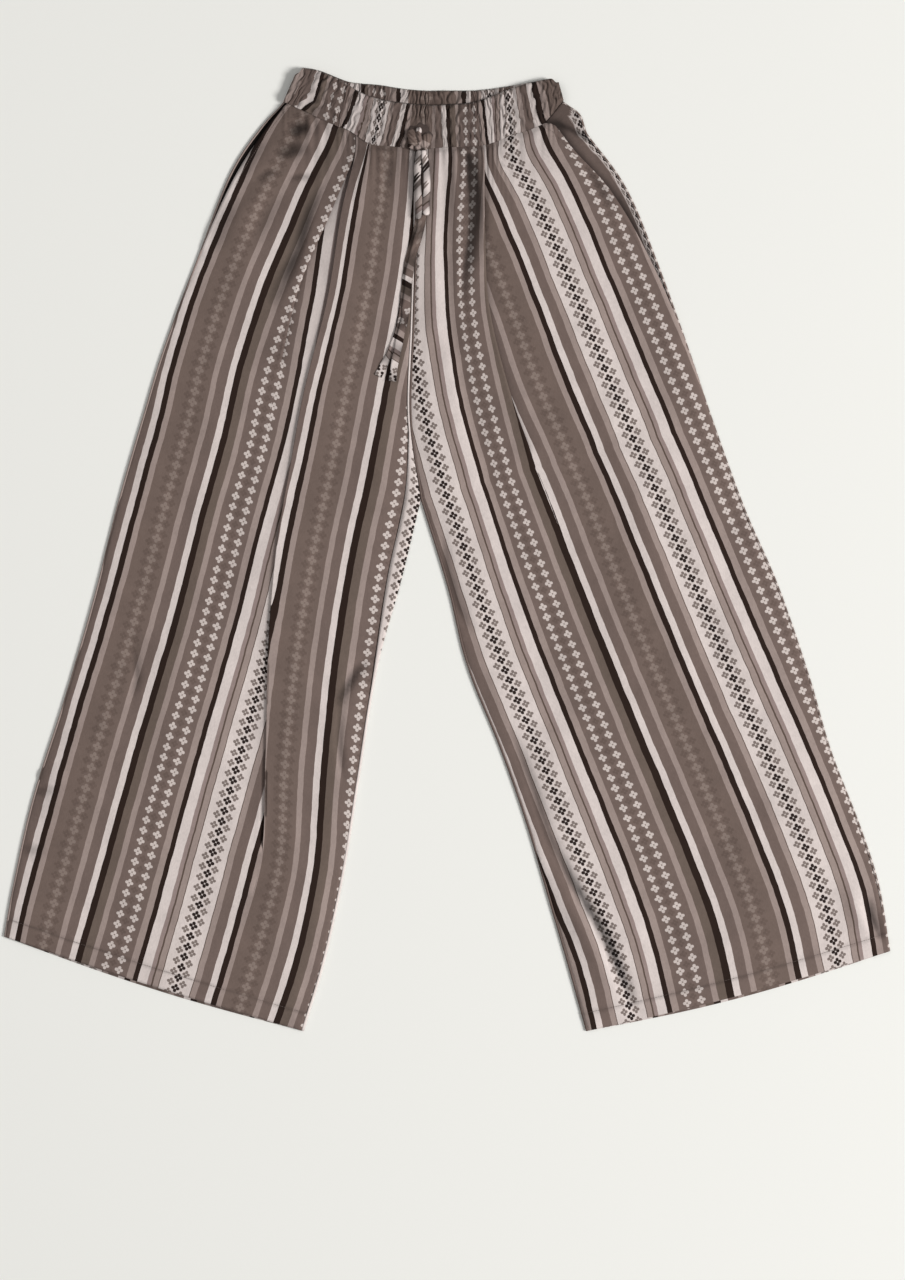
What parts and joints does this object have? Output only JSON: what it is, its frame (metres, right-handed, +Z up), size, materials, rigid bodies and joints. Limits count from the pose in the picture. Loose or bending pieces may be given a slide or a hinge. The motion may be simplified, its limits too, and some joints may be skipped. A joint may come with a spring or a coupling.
{
  "type": "trousers",
  "caption": "Wide-leg trousers laid flat, with a gathered elastic waistband, slanted side pockets, waist pleats and a self-fabric tie in a bow.",
  "frame": {"origin": "middle of the bounding box in plan, on the surface that the trousers lie on", "axes": "+Y towards the waist, +X to the viewer's right (the wearer's left), +Z up, off the surface"},
  "size_m": [0.9738, 1.06, 0.0143],
  "materials": {
    "cloth": "soft matte viscose, printed in stripes with small four-petal flowers",
    "waistband": "the same printed viscose, gathered on elastic",
    "pocket": "the same printed viscose, in the shade of the pocket mouth",
    "tie": "a narrow folded band of the same printed viscose"
  },
  "bodies": {
    "root": {"front_right_leg": "cloth", "front_left_leg": "cloth", "back_right_leg": "cloth", "back_left_leg": "cloth", "waistband_front": "waistband", "waistband_back": "waistband", "pocket_facing_right": "pocket", "pocket_facing_left": "pocket", "tie_knot": "tie", "tie_loop_right": "tie", "tie_loop_left": "tie", "tie_end_right": "tie", "tie_end_left": "tie"}
  },
  "joints": []
}
